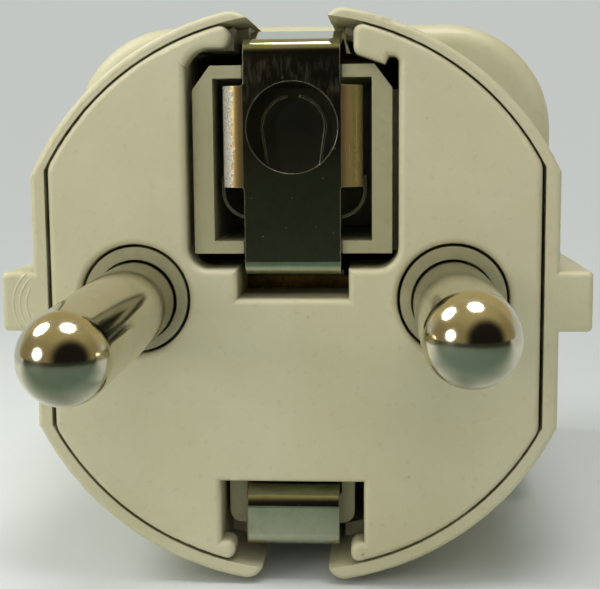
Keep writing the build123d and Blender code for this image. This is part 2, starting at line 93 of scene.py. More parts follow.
# %% [markdown]
# ## The camera comes first
#
# The photograph was taken from close by, slightly from the right and from above, with a
# strong perspective: the ends of the pins look a third larger than their roots. A lens
# length and a place that were fitted to the pins, the rim and the ribs give that view
# back. An aim point on the face and a small roll are easier to read than angles.

# %% Camera at the photograph's viewing angle
LENS = 71.93
SENSOR = 36.0
CAMERA_PLACE = Vector((5.245, -70.335, 9.336)) * MM
CAMERA_AIM = Vector((0.441, 0.0, 0.333)) * MM
CAMERA_ROLL = math.radians(-0.498)

lens = bpy.data.cameras.new("camera")
lens.lens = LENS
lens.sensor_width = SENSOR
lens.clip_start = 1 * MM
camera = bpy.data.objects.new("camera", lens)
camera.location = CAMERA_PLACE
looking = (CAMERA_AIM - CAMERA_PLACE).to_track_quat("-Z", "Y").to_matrix().to_4x4()
camera.rotation_euler = (looking @ Matrix.Rotation(CAMERA_ROLL, 4, "Z")).to_euler()
bpy.context.scene.collection.objects.link(camera)
bpy.context.scene.camera = camera
print("camera is", round((CAMERA_AIM - CAMERA_PLACE).length / MM, 1), "mm from its aim")

# %% [markdown]
# ## Working by hand, from a script
#
# Every new piece is modelled with the operators that a person would click on, in edit
# mode. An operator acts on all that is selected, so the helpers here first deselect
# everything, and then choose verts, edges or faces by a test of their place.

# %% Small helpers for edit mode
def deselect_all():
    for thing in bpy.context.scene.objects:
        thing.select_set(False)


def select_only(piece):
    deselect_all()
    piece.select_set(True)
    bpy.context.view_layer.objects.active = piece


def added(name):
    """Names the primitive that was just added."""
    piece = bpy.context.active_object
    piece.name = name
    piece.data.name = name
    return piece


def middle(edge):
    return (edge.verts[0].co + edge.verts[1].co) / 2


deselect_all()
print("objects still selected:", len(bpy.context.selected_objects))

# %% Edit mode
class Editing:
    """Edit mode on one piece, with nothing selected at first."""

    def __init__(self, piece, mode="EDGE"):
        self.piece = piece
        self.mode = mode

    def __enter__(self):
        select_only(self.piece)
        bpy.ops.object.mode_set(mode="EDIT")
        bpy.ops.mesh.select_mode(type=self.mode)
        bpy.ops.mesh.select_all(action="DESELECT")
        return self

    def choose(self, kind, test):
        """Selects the verts, edges or faces that pass a test, and counts them."""
        mesh = bmesh.from_edit_mesh(self.piece.data)
        chosen = [part for part in getattr(mesh, kind) if test(part)]
        bpy.ops.mesh.select_all(action="DESELECT")
        for part in chosen:
            part.select_set(True)
        mesh.select_flush_mode()
        bmesh.update_edit_mesh(self.piece.data)
        return len(chosen)

    def __exit__(self, *problem):
        bpy.ops.object.mode_set(mode="OBJECT")


print("mode now:", bpy.context.mode)

# %% [markdown]
# ## A floor that turns up into a backdrop
#
# A plain pale sweep, as in a product studio, hides the horizon. It starts as a plane,
# its far edge is pulled up, and the fold between the two is beveled into a wide curve.
# It isn't part of the object.

# %% The sweep
FLOOR_SIZE = 2000 * MM
BACKDROP_DISTANCE = 450 * MM
SWEEP_RADIUS = 250 * MM
SWEEP_STEPS = 24
floor_level = cad_box[0].z


def at_the_back(edge):
    return middle(edge).y > BACKDROP_DISTANCE - MM


def on_the_floor(edge):
    return all(vert.co.z < floor_level + MM for vert in edge.verts)


deselect_all()
bpy.ops.mesh.primitive_plane_add(
    size=FLOOR_SIZE, location=(0, BACKDROP_DISTANCE - FLOOR_SIZE / 2, floor_level)
)
sweep = added("studio_sweep")
bpy.ops.object.transform_apply(location=True, rotation=True, scale=True)
with Editing(sweep) as edit:
    far_edges = edit.choose("edges", at_the_back)
    bpy.ops.mesh.extrude_region_move(
        TRANSFORM_OT_translate={"value": (0, 0, FLOOR_SIZE / 2)}
    )
    edit.choose("edges", lambda edge: at_the_back(edge) and on_the_floor(edge))
    bpy.ops.mesh.bevel(offset=SWEEP_RADIUS, segments=SWEEP_STEPS)
select_only(sweep)
bpy.ops.object.shade_smooth()
print("sweep:", far_edges, "edge pulled up,", len(sweep.data.polygons), "faces")

# %% [markdown]
# ## Soft light from a small studio
#
# The light comes mostly from above, so every upper edge is brighter than the face below
# it. One wide lamp close by does that softly, and mirrors don't see it. Three round
# windows, above, at the upper left and in front at the left, add the bright spots that
# polished pin ends show. The view transform is Standard, so that a colour renders about as
# it is written.

# %% Lamps
LAMPS = {
    # name: direction, distance, diameter, watts, shown in mirrors
    "wide_lamp": ((-0.16, -0.75, 0.64), 140 * MM, 210 * MM, 0.078, False),
    "upper_window": ((0.121, -0.087, 0.990), 320 * MM, 150 * MM, 0.46, True),
    "left_window": ((-0.652, 0.040, 0.757), 320 * MM, 150 * MM, 0.42, True),
    "front_window": ((-0.762, -0.604, 0.231), 320 * MM, 125 * MM, 0.20, True),
}
bpy.context.scene.view_settings.view_transform = "Standard"


def lamp(name, direction, distance, size, power, mirrored):
    """A round soft lamp, aimed at the middle of the adapter's face."""
    light = bpy.data.lights.new(name, "AREA")
    light.shape = "DISK"
    light.size = size
    light.energy = power
    holder = bpy.data.objects.new(name, light)
    holder.location = Vector(direction).normalized() * distance
    holder.rotation_euler = (-holder.location).to_track_quat("-Z", "Y").to_euler()
    holder.visible_glossy = mirrored
    bpy.context.scene.collection.objects.link(holder)
    return holder


lamps = [lamp(name, *values) for name, values in LAMPS.items()]
print("lamps:", [holder.name for holder in lamps])

# %% [markdown]
# ## Writing shader maths as plain expressions
#
# Every finish below is a sum of patterns: specks, scratches, stains. `Field` wraps the
# output of a node, and its operators add Math nodes, so `1 - specks * 0.3` reads as it
# is.

# %% Fields
class Field:
    """A number or colour that varies over a surface."""

    def __init__(self, owner, socket):
        self.owner = owner
        self.socket = socket

    def maths(self, operation, first, second=0.0):
        values = {0: first, 1: second}
        return self.owner.node("ShaderNodeMath", {"operation": operation}, values)

    def __add__(self, other):
        return self.maths("ADD", self, other)

    def __radd__(self, other):
        return self.maths("ADD", other, self)

    def __sub__(self, other):
        return self.maths("SUBTRACT", self, other)

    def __rsub__(self, other):
        return self.maths("SUBTRACT", other, self)

    def __mul__(self, other):
        return self.maths("MULTIPLY", self, other)

    def __rmul__(self, other):
        return self.maths("MULTIPLY", other, self)

    def __pow__(self, other):
        return self.maths("POWER", self, other)

    def __rpow__(self, other):
        return self.maths("POWER", other, self)

    def larger(self, other):
        return self.maths("MAXIMUM", self, other)

    def size(self):
        return self.maths("ABSOLUTE", self)


print("operators of a field:", sum(name.startswith("__r") for name in vars(Field)), "pairs")

# %% [markdown]
# ## One method for every other node
#
# `Tree` adds all other nodes through one method, which takes the node's type, its
# settings and what its sockets get. The world, the floor and each material are trees.
# Two nodes are in use all the time: `ramp` fades a pattern in between two of its levels,
# and `blend` mixes two colours by a pattern.

# %% Trees of nodes
class Tree:
    """Adds nodes to a material or to the world."""

    def __init__(self, tree):
        self.tree = tree

    def feed(self, socket, value):
        """Gives a socket a Field, or else a plain number, colour or vector."""
        if isinstance(value, Field):
            self.tree.links.new(value.socket, socket)
        else:
            socket.default_value = value

    def node(self, kind, settings=None, values=None, output=0):
        """Adds a node, sets it, feeds its sockets and gives back one output as a Field."""
        made = self.tree.nodes.new(kind)
        for name, setting in (settings or {}).items():
            setattr(made, name, setting)
        for name, value in (values or {}).items():
            self.feed(made.inputs[name], value)
        return Field(self, made.outputs[output])

    def ramp(self, field, low, high, start=0.0, end=1.0):
        """The field's stretch from low to high, spread over start to end."""
        values = {"Value": field, "From Min": low, "From Max": high}
        values |= {"To Min": start, "To Max": end}
        return self.node("ShaderNodeMapRange", {"interpolation_type": "SMOOTHSTEP"}, values)

    def blend(self, factor, first, second):
        """Colour between two colours."""
        values = {0: factor, 6: first, 7: second}
        return self.node("ShaderNodeMix", {"data_type": "RGBA"}, values, output=2)

    def likeness(self, first, second):
        """1 where two directions agree, 0 where they are square to each other."""
        settings, values = {"operation": "DOT_PRODUCT"}, {0: first, 1: second}
        return self.node("ShaderNodeVectorMath", settings, values, output="Value")

    def ray(self, kind):
        """1 for the rays of one kind, 0 for the others."""
        return self.node("ShaderNodeLightPath", output=f"Is {kind} Ray")

    def seen(self):
        """1 for what the camera sees, directly or through something clear."""
        return self.ray("Camera").larger(self.ray("Transmission"))


def tone(red, green, blue):
    """The light that a colour stands for, given as a screen shows it, from 0 to 255."""
    light = []
    for level in (red / 255, green / 255, blue / 255):
        straight, curved = level / 12.92, ((level + 0.055) / 1.055) ** 2.4
        light.append(straight if level < 0.04045 else curved)
    return (*light, 1.0)


print("a mid grey of the screen is", round(tone(128, 128, 128)[0], 3), "of the light")

# %% [markdown]
# ## Patterns in a material
#
# `Patterned` is the tree of one material. Its patterns read Object coordinates, which are
# the frame's own metres, so the size of a stain or a scratch is written as it is on the
# real thing, and a pattern runs on from one piece to the next.

# %% Patterns
class Patterned(Tree):
    """One material with procedural patterns, on the shader that every new material has."""

    def __init__(self, name):
        self.material = bpy.data.materials.new(name)
        self.material.use_nodes = True
        super().__init__(self.material.node_tree)
        self.shader = self.tree.nodes["Principled BSDF"]

    def place(self, stretch=(1, 1, 1)):
        """Object coordinates, stretched at will."""
        here = self.node("ShaderNodeTexCoord", output="Object")
        return self.node("ShaderNodeMapping", values={"Vector": here, "Scale": stretch})

    def across(self, axis):
        """Distance from the frame's origin along X, Y or Z, in metres."""
        here = self.node("ShaderNodeTexCoord", output="Object")
        return self.node("ShaderNodeSeparateXYZ", values={0: here}, output=axis)

    def noise(self, size, detail=2.0, roughness=0.5, stretch=(1, 1, 1), shift=0.0):
        """Cloudy pattern from 0 to 1 whose patches are about so large."""
        values = {"Vector": self.place(stretch), "W": shift, "Scale": 1 / size}
        values |= {"Detail": detail, "Roughness": roughness}
        return self.node("ShaderNodeTexNoise", {"noise_dimensions": "4D"}, values)

    def spots(self, size):
        """Distance from scattered points, 0 at each point."""
        values = {"Vector": self.place(), "Scale": 1 / size}
        return self.node("ShaderNodeTexVoronoi", {"feature": "F1"}, values)

    def wear(self, **sockets):
        """Feeds the shader: colours, numbers or Fields, by the socket's name."""
        for name, value in sockets.items():
            self.feed(self.shader.inputs[name.replace("_", " ")], value)
        return self.material


print("patterns:", [name for name in vars(Patterned) if name[0].islower()])

# %% [markdown]
# ## Dirt and painted shade in the corners, wear and painted highlights on the edges
#
# `Finish` adds what age does, with some painted light and shade. Ambient occlusion finds
# the crevices: there metal tarnishes, plastic gets grime and painted shade, and the sheet
# painted shade. The Bevel node gives a normal that rounds sharp edges, and where it differs
# from the true normal there is an edge, painted paler: partly rubbed bright by hands and
# sockets, partly a painted highlight.

# %% Finishes
class Finish(Patterned):
    """A patterned material that knows its crevices, its edges and its relief."""

    SAMPLES = 6
    FLAT, SHARP = 0.99, 0.90

    def crevice(self, reach):
        """1 where the surface is hemmed in within the reach, 0 in the open."""
        settings, values = {"samples": self.SAMPLES}, {"Distance": reach}
        return 1 - self.node("ShaderNodeAmbientOcclusion", settings, values, output="AO")

    def soft_edges(self, radius):
        """Normal that rounds the sharp edges of a piece."""
        return self.node("ShaderNodeBevel", {"samples": self.SAMPLES}, {"Radius": radius})

    def edges(self, radius):
        """1 on sharp edges, 0 on flat ground."""
        ground = self.node("ShaderNodeNewGeometry", output="Normal")
        alike = self.likeness(self.soft_edges(radius), ground)
        return self.ramp(alike, self.FLAT, self.SHARP)

    def relief(self, height, depth, radius=None):
        """Normal of a height pattern, so many metres deep, over edges of this radius."""
        values = {"Height": height, "Distance": depth, "Strength": 1.0}
        if radius is not None:
            values["Normal"] = self.soft_edges(radius)
        return self.node("ShaderNodeBump", values=values)


print("patterns of age:", [name for name in vars(Finish) if name[0].islower()])

# %% [markdown]
# ## What bright metal mirrors
#
# Bright metal looks like whatever surrounds it. Here that is a warm room, with a dark
# doorway in front at the right and a pale backdrop behind. The world shows those to
# mirror rays only. Diffuse rays get an even fill, and the camera sees a pale backdrop.

# %% The world
FILL = (0.29, 0.29, 0.2813, 1)
DARK_DOORWAY = (0.010, 0.009, 0.007, 1)
DOORWAY_DIRECTION = (0.48, -0.87, 0.10)
WARM_WALLS = (0.27, 0.225, 0.11, 1)
WARM_CEILING = (0.42, 0.36, 0.17, 1)
PALE_BACKDROP = (0.50, 0.50, 0.42, 1)
SEEN_BACKDROP = tone(192, 197, 194)
CEILING_BORDER = (0.30, 0.95)
DOORWAY_BORDER = (0.56, 0.84)
BACKDROP_BORDER = (0.10, 0.60)

studio = bpy.data.worlds.new("studio")
studio.use_nodes = True
bpy.context.scene.world = studio
air = Tree(studio.node_tree)
heading = air.node("ShaderNodeTexCoord", output="Generated")
backwards = air.node("ShaderNodeSeparateXYZ", values={0: heading}, output="Y")
upwards = air.node("ShaderNodeSeparateXYZ", values={0: heading}, output="Z")
to_the_doorway = air.likeness(heading, DOORWAY_DIRECTION)

mirrored = air.blend(air.ramp(upwards, *CEILING_BORDER), WARM_WALLS, WARM_CEILING)
mirrored = air.blend(air.ramp(to_the_doorway, *DOORWAY_BORDER), mirrored, DARK_DOORWAY)
mirrored = air.blend(air.ramp(backwards, *BACKDROP_BORDER), mirrored, PALE_BACKDROP)
colour = air.blend(air.ray("Glossy"), FILL, mirrored)
colour = air.blend(air.seen(), colour, SEEN_BACKDROP)
air.feed(air.tree.nodes["Background"].inputs["Color"], colour)
print("world nodes:", len(air.tree.nodes))

# %% [markdown]
# ## A pale floor with a plain horizon
#
# Near the adapter the floor is pale paper that takes light and shadow. Further out the
# camera sees an even glow of the backdrop's own tone, so no edge or corner of the sweep
# shows from any side. The metal mirrors other tones: a darker floor in front of the
# adapter, almost black further out, and a warm glow high up on the backdrop.

# %% The floor's zones
FAR_ZONE = (70 * MM, 160 * MM)
FRONT_ZONE = (12 * MM, -30 * MM)
HIGH_ZONE = (150 * MM, 320 * MM)

floor_finish = Finish("pale_floor")
x, y, z = (floor_finish.across(axis) for axis in "XYZ")
far = floor_finish.ramp((x * x + y * y) ** 0.5, *FAR_ZONE)
mirror_ray = floor_finish.ray("Glossy")
in_front = mirror_ray * floor_finish.ramp(y, *FRONT_ZONE)
high_up = mirror_ray * floor_finish.ramp(z, *HIGH_ZONE)
glowing = far * floor_finish.seen().larger(mirror_ray)
print("the glow starts", round(FAR_ZONE[0] / MM), "mm from the adapter's axis")

# %% The floor's tones
PAPER_GRAIN = 30 * MM
PAPER_TONES = (tone(210, 215, 213), tone(218, 222, 220))
MIRRORED_NEAR, MIRRORED_FAR = tone(92, 112, 102), tone(24, 33, 28)
MIRRORED_HIGH = tone(186, 172, 122)
BLACK = (0, 0, 0, 1)

paper = floor_finish.blend(floor_finish.noise(PAPER_GRAIN, detail=3), *PAPER_TONES)
paper = floor_finish.blend(in_front, paper, MIRRORED_NEAR)
glow = floor_finish.blend(in_front, SEEN_BACKDROP, MIRRORED_FAR)
glow = floor_finish.blend(high_up, glow, MIRRORED_HIGH)
pale_floor = floor_finish.wear(
    Base_Color=floor_finish.blend(glowing, paper, BLACK),
    Emission_Color=floor_finish.blend(glowing, BLACK, glow),
    Emission_Strength=1.0,
    Roughness=0.85,
)
sweep.data.materials.append(pale_floor)
print("floor finish:", len(floor_finish.tree.nodes), "nodes")

# %% [markdown]
# ## Ivory plastic that has been in many suitcases
#
# Case, face and socket cover are moulded from one warm ivory plastic, and the piece that
# carries the contacts from a greyer one. The colour isn't flat: handling left paler and
# yellower clouds, the plastic has fine flecks, and dust has gathered. The crevices, most of
# all where two pieces meet, are darkened in patches: partly grime, partly painted shade.

# %% Colour of moulded plastic
CLOUD_SIZE = 9 * MM
FLECK_SIZE, FLECK_SHARE = 0.5 * MM, 0.10
DUST_SPACING, DUST_SHARE = 1.9 * MM, 0.5
# reach, patch size and share of the crevice darkening: partly grime, partly painted shade
CREVICE_SHADE_REACH, CREVICE_PATCH, CREVICE_SHADE_SHARE = 0.9 * MM, 2.2 * MM, 0.55


def plastic_colour(finish, pale, warm, grime_and_shade):
    clouds = finish.noise(CLOUD_SIZE, detail=4, roughness=0.6)
    flecks = finish.ramp(finish.noise(FLECK_SIZE, detail=3), 0.56, 0.74)
    dusty = finish.ramp(clouds, 0.48, 0.62)
    dust = finish.ramp(finish.spots(DUST_SPACING), 0.085, 0.03) * dusty
    crevice_patches = finish.ramp(finish.noise(CREVICE_PATCH, detail=3), 0.25, 0.7)
    colour = finish.blend(finish.ramp(clouds, 0.3, 0.7), pale, warm)
    colour = finish.blend(flecks * FLECK_SHARE, colour, grime_and_shade)
    colour = finish.blend(dust * DUST_SHARE, colour, grime_and_shade)
    # painted shade: crevices that occlusion finds are darkened in patches, partly as grime
    return finish.blend(finish.crevice(CREVICE_SHADE_REACH) * crevice_patches * CREVICE_SHADE_SHARE, colour, grime_and_shade)


print("dust specks are about", round(DUST_SPACING / MM, 1), "mm apart")

# %% [markdown]
# ## Raised arcs on the left rib, with a painted highlight
#
# At the far left, the front of the guide rib shows three thin arcs, a few hundredths of a
# millimetre high. That is too fine for the mesh, so they are relief, and their pale colour
# is a painted highlight: rings round one centre, cut off outside the front of the rib.

# %% Arcs on the rib
MARK_CENTRE = (-14.4 * MM, -0.3 * MM)
MARK_RADII = (1.75 * MM, 2.15 * MM, 2.55 * MM)
MARK_HALF_WIDTH = 0.10 * MM
RIB_SIDE = (-15.80 * MM, -15.95 * MM)
RIB_FRONT = (0.50 * MM, 0.35 * MM)


def raised_and_highlit_arcs(finish):
    """Mask of three thin raised arcs on the front of the left rib, for relief and a painted
    highlight.
    """
    sideways = finish.across("X") - MARK_CENTRE[0]
    upright = finish.across("Z") - MARK_CENTRE[1]
    distance = (sideways * sideways + upright * upright) ** 0.5
    gaps = [(distance - radius).size() for radius in MARK_RADII]
    arcs = sum(finish.ramp(gap, MARK_HALF_WIDTH, 0.0) for gap in gaps)
    on_the_rib = finish.ramp(finish.across("X"), *RIB_SIDE)
    on_the_front = finish.ramp(finish.across("Y"), *RIB_FRONT)
    return arcs * on_the_rib * on_the_front


print("arcs on the rib:", len(MARK_RADII))

# %% [markdown]
# ## The skin that the mould left
#
# A fine grain and a slow wave make the skin, with the arcs raised out of it. Its sheen
# varies in patches as large as a fingertip's touch. The two plastics share all of this
# and differ in their colours.

# %% Moulded plastic
GRAIN_SIZE = 0.16 * MM
WAVE_SIZE, WAVE_HEIGHT = 0.7 * MM, 0.8
SKIN_DEPTH, PLASTIC_EDGE = 0.010 * MM, 0.06 * MM
# the arcs' relief height, and the share and tone of their painted highlight
MARK_HEIGHT, ARC_HIGHLIGHT_SHARE, ARC_HIGHLIGHT_TONE = 5.0, 0.45, tone(226, 220, 190)
SHEEN_SIZE, SHEEN = 5 * MM, (0.36, 0.48)


def moulded_plastic(name, pale, warm, grime_and_shade, marks=False):
    finish = Finish(name)
    colour = plastic_colour(finish, pale, warm, grime_and_shade)
    sheen = finish.ramp(finish.noise(SHEEN_SIZE, detail=3, shift=3.0), 0.3, 0.7, *SHEEN)
    skin = finish.noise(GRAIN_SIZE) + finish.noise(WAVE_SIZE) * WAVE_HEIGHT
    if marks:
        arcs = raised_and_highlit_arcs(finish)
        skin = skin + arcs * MARK_HEIGHT
        # painted highlight: the arcs painted paler
        colour = finish.blend(arcs * ARC_HIGHLIGHT_SHARE, colour, ARC_HIGHLIGHT_TONE)
    normal = finish.relief(skin, SKIN_DEPTH, PLASTIC_EDGE)
    return finish.wear(Base_Color=colour, Roughness=sheen, Normal=normal, IOR=1.5)


IVORY = (tone(200, 195, 162), tone(194, 188, 150), tone(92, 82, 54))
GREY = (tone(166, 162, 126), tone(154, 150, 112), tone(66, 58, 38))
ivory_plastic = moulded_plastic("ivory_plastic", *IVORY, marks=True)
grey_plastic = moulded_plastic("grey_plastic", *GREY)
print("ivory plastic:", len(ivory_plastic.node_tree.nodes), "nodes")

# %% [markdown]
# ## Nickel, brass and bronze
#
# Metal has no colour of its own but tints what it mirrors. The pins are plated and
# polished until they mirror the face behind them, with a few fine pits. The inner
# conductors and their rivets are plain brass and spring bronze, duller, with a brown
# bloom, and the screws are steel. The brass is darker still: partly tarnish, partly painted
# shade for the brass that lies deep in the earth slot. Fine scratches run along the way
# that each metal was drawn.

# %% Metal
BLOOM_SIZE, TARNISH_REACH, TARNISH_SHARE = 2.6 * MM, 0.6 * MM, 0.5
SCRATCH_WIDTH, PIT_SPACING, METAL_EDGE = 0.08 * MM, 0.7 * MM, 0.04 * MM
ROUGHEST, BLOOM_ROUGHNESS = 1.7, 0.08


def metal(name, colour, tarnish, roughness, drawn, depth, bloom, pits):
    """Bare metal: bloom is how brown it gets, pits how deep they are beside scratches."""
    finish = Finish(name)
    blooms = finish.noise(BLOOM_SIZE, detail=5, roughness=0.65)
    blooms = finish.ramp(blooms, 0.42, 0.72) * bloom
    surface = finish.blend(blooms, colour, tarnish)
    tarnished = finish.crevice(TARNISH_REACH) * TARNISH_SHARE
    surface = finish.blend(tarnished, surface, tarnish)
    height = finish.noise(SCRATCH_WIDTH, detail=3, stretch=drawn)
    dull = finish.ramp(height, 0.35, 0.75, roughness, roughness * ROUGHEST)
    dull = dull + blooms * BLOOM_ROUGHNESS
    if pits:
        height = height - finish.ramp(finish.spots(PIT_SPACING), 0.12, 0.02) * pits
    normal = finish.relief(height, depth, METAL_EDGE)
    return finish.wear(Base_Color=surface, Metallic=1.0, Roughness=dull, Normal=normal)


print("a scratch is about", round(SCRATCH_WIDTH / MM, 2), "mm wide")

# %% The four metals
ALONG_Y, ALONG_Z = (1, 0.03, 1), (1, 1, 0.03)
POLISHED, DRAWN = 0.0004 * MM, 0.002 * MM
METALS = {
    # slot: colour, tarnish, roughness, way drawn, depth of scratches, bloom, pits
    "nickel": (tone(214, 207, 184), tone(150, 132, 96), 0.10, ALONG_Y, POLISHED, 0.3, 3.0),
    # brass darkened and heavily bloomed: partly tarnish, partly painted shade deep in the
    # slot
    "brass": (tone(150, 120, 70), tone(54, 38, 22), 0.26, ALONG_Z, DRAWN, 0.9, 0.0),
    "bronze": (tone(172, 132, 90), tone(80, 52, 32), 0.26, ALONG_Y, DRAWN, 0.7, 0.0),
    "steel": (tone(188, 190, 192), tone(110, 106, 98), 0.22, ALONG_Y, DRAWN, 0.5, 0.0),
}

metals = {name: metal(name, *values) for name, values in METALS.items()}
print("metals:", list(metals))

# %% [markdown]
# ## The rolled sheet of the earth strips
#
# The sheet is smooth enough to look black where it mirrors the dark doorway. What gives
# it away are its marks. Brown streaks run down the top of the strip, where the socket's
# spring rubs, and fine dots lie all over it. A mark is one pattern times another that says
# where it may lie, so that it comes and goes.

# %% Streaks and dots
STREAK_WIDTH, STREAK_STRETCH = 0.17 * MM, (1, 1, 0.20)
STREAK_BOTTOM = (11.2 * MM, 12.4 * MM)
STREAK_TOP = (14.5 * MM, 13.6 * MM)
STREAK_GROUPS = 0.9 * MM
DOT_SPACING, DOT_GROUPS = 0.65 * MM, 1.6 * MM

sheet = Finish("nickel_sheet")
sideways, height = sheet.across("X"), sheet.across("Z")
streaks = sheet.noise(STREAK_WIDTH, detail=4, stretch=STREAK_STRETCH)
streaks = sheet.ramp(streaks, 0.44, 0.66)
streaks = streaks * sheet.ramp(height, *STREAK_BOTTOM) * sheet.ramp(height, *STREAK_TOP)
streaks = streaks * sheet.ramp(sheet.noise(STREAK_GROUPS, shift=5.0), 0.35, 0.60)
dots = sheet.ramp(sheet.spots(DOT_SPACING), 0.075, 0.030)
dots = dots * sheet.ramp(sheet.noise(DOT_GROUPS, shift=2.0), 0.30, 0.55)
print("streaks and dots take", len(sheet.tree.nodes), "nodes")

# %% [markdown]
# ## Wings that the press has scraped
#
# The press folded the two wings back and scraped them. The scraped band on the left wing
# has a torn outline, so a noise shifts its border. The right wing is only dulled. At the
# roots of both wings the plating is thin and looks gilt.

# %% Scraped wings
SHEET_FRONT = (2.2 * MM, 1.4 * MM)
SCRAPE_START, LEFT_FADE, RIGHT_FADE = 3.45 * MM, 0.18 * MM, 0.3 * MM
TEAR_SIZE, TEAR_REACH = 0.36 * MM, 1.1 * MM
ROOT_BORDER = (2.86 * MM, 2.95 * MM)

front = sheet.ramp(sheet.across("Y"), *SHEET_FRONT)
tear = (sheet.noise(TEAR_SIZE, detail=4, roughness=0.7) - 0.5) * TEAR_REACH
left_wing = sheet.ramp(sideways + tear, -SCRAPE_START, -SCRAPE_START - LEFT_FADE)
left_wing = left_wing * front
right_wing = sheet.ramp(sideways + tear * 0.5, SCRAPE_START, SCRAPE_START + RIGHT_FADE)
right_wing = right_wing * front
wing_roots = sheet.ramp(sideways.size(), *ROOT_BORDER) * front
print("the wings are scraped from", round(SCRAPE_START / MM, 2), "mm outwards")

# %% [markdown]
# ## The sheet's colours, one stain over another
#
# Each stain is blended over the ones before it, by its pattern and its share. First come
# faint clouds and mottling of the plating, then the marks, then the wings, and last a
# painted shade in the corners and a pale line on the edges, partly rubbed bright and partly
# a painted highlight.

# %% Colour of the sheet
GILT_BORDER = (2.85 * MM, 3.55 * MM)
SHEET_CLOUD, SHEET_MOTTLE, SCRATCHES = 2.0 * MM, 0.45 * MM, 0.11 * MM
CORNER_SHADE_REACH, EDGE_LINE_WIDTH = 0.5 * MM, 0.07 * MM

cloud = sheet.ramp(sheet.noise(SHEET_CLOUD, detail=5, roughness=0.65), 0.45, 0.75)
mottled = sheet.noise(SHEET_MOTTLE, detail=4, roughness=0.7, shift=8.0)
mottled = sheet.ramp(mottled, 0.40, 0.66)
scratched = sheet.ramp(sheet.noise(SCRATCHES, detail=4, roughness=0.75), 0.36, 0.56)
scraped = sheet.blend(scratched, tone(140, 132, 106), tone(226, 222, 208))
gilt = sheet.ramp(sideways.size(), *GILT_BORDER)
gilt = sheet.blend(gilt, tone(104, 80, 36), tone(190, 156, 92))
# sharp edges painted paler: partly wear, partly a painted highlight along the edges
worn_and_highlit_edges = sheet.edges(EDGE_LINE_WIDTH)

# base tone: nickel darkened and tinted green-grey, partly tarnish and partly a painted dark
# reflection
shine = tone(180, 182, 158)
for pattern, share, stain in (
    # pattern, share that it covers, colour
    (cloud, 0.25, tone(120, 108, 76)),
    (mottled, 0.15, tone(126, 128, 104)),
    (streaks, 0.8, tone(116, 96, 58)),
    (dots, 0.6, tone(140, 130, 100)),
    (wing_roots, 0.9, gilt),
    (left_wing, 1.0, scraped),
    (right_wing, 0.9, tone(160, 148, 92)),
    # painted shade: the sheet's corners darkened where occlusion finds them
    (sheet.crevice(CORNER_SHADE_REACH), 0.5, tone(70, 58, 36)),
    # pale edges: partly rubbed bright, partly a painted highlight
    (worn_and_highlit_edges, 0.8, tone(214, 206, 176)),
):
    shine = sheet.blend(pattern * share, shine, stain)
print("colour of the sheet:", len(sheet.tree.nodes), "nodes so far")

# %% [markdown]
# ## The sheet's gloss and relief
#
# Marks are less of a mirror than bare nickel: they lower Metallic and raise Roughness
# together. Fine lines from rolling run along the strip, and the scraped wing is uneven.

# %% Gloss and relief of the sheet
LINE_WIDTH, LINE_HEIGHT = 0.10 * MM, 0.3
SCUFF_SIZE, SCUFF_HEIGHT = 0.22 * MM, 12.0
SHEET_DEPTH, SHEET_EDGE = 0.0012 * MM, 0.03 * MM
BARE_GLOSS = (0.08, 0.12)
WORN_ROUGHNESS = 0.40

worn = streaks * 0.11
for pattern, share in (
    # pattern, share of the mirror that it takes
    (dots, 0.30),
    (left_wing, 0.75),
    (right_wing, 0.45),
    (wing_roots, 0.4),
    (worn_and_highlit_edges, 0.35),
):
    worn = worn.larger(pattern * share)
fine_lines = sheet.noise(LINE_WIDTH, stretch=ALONG_Z)
scuffs = sheet.noise(SCUFF_SIZE, detail=4, roughness=0.7) * left_wing
relief = fine_lines * LINE_HEIGHT + scuffs * SCUFF_HEIGHT
nickel_sheet = sheet.wear(
    Base_Color=shine,
    Metallic=1 - worn,
    Roughness=sheet.ramp(fine_lines, 0.3, 0.8, *BARE_GLOSS) + worn * WORN_ROUGHNESS,
    Normal=sheet.relief(relief, SHEET_DEPTH, SHEET_EDGE),
)
print("sheet finish:", len(sheet.tree.nodes), "nodes")

# %% [markdown]
# ## Fibre board of the insulating plate
#
# The plate that carries the contacts is pressed fibre board, brown and dull, with fibres
# that lie from side to side. It is hidden inside the head, so its finish is simple.

# %% Fibre board
FIBRE_SIZE, FIBRE_STRETCH, FIBRE_DEPTH = 0.35 * MM, (0.12, 1, 1), 0.02 * MM

board = Finish("fibre_board")
fibres = board.noise(FIBRE_SIZE, detail=4, stretch=FIBRE_STRETCH)
fibre_board = board.wear(
    Base_Color=board.blend(fibres, tone(92, 80, 64), tone(58, 50, 42)),
    Roughness=0.75,
    Normal=board.relief(fibres, FIBRE_DEPTH),
)
print("fibre board:", len(board.tree.nodes), "nodes")

# %% [markdown]
# ## A finish for every CAD piece
#
# The record says which material slot each piece has, and the finishes are named for the
# slots, so one loop dresses them all.

# %% Materials on the CAD nodes
finishes = {
    **metals,
    "ivory_plastic": ivory_plastic,
    "grey_plastic": grey_plastic,
    "nickel_sheet": nickel_sheet,
    "fibre_board": fibre_board,
}
slots = {part["node"]: part["material_slot"] for part in record["subparts"]}
for name, node in nodes.items():
    node.data.materials.clear()
    node.data.materials.append(finishes[slots[name]])
print("finishes on", len(slots), "nodes")

# %% [markdown]
# ## The two pins, turned anew
#
# Each pin is a turned rod: a tail with a groove, a straight shank, a long slight taper and
# a ball end. A mirror surface shows every flat of a coarse mesh, so the pins have
# ninety-six sides. A lathe works ring by ring, and so do these cells: a disc is extruded
# along the axis, and each new ring is resized to its radius.

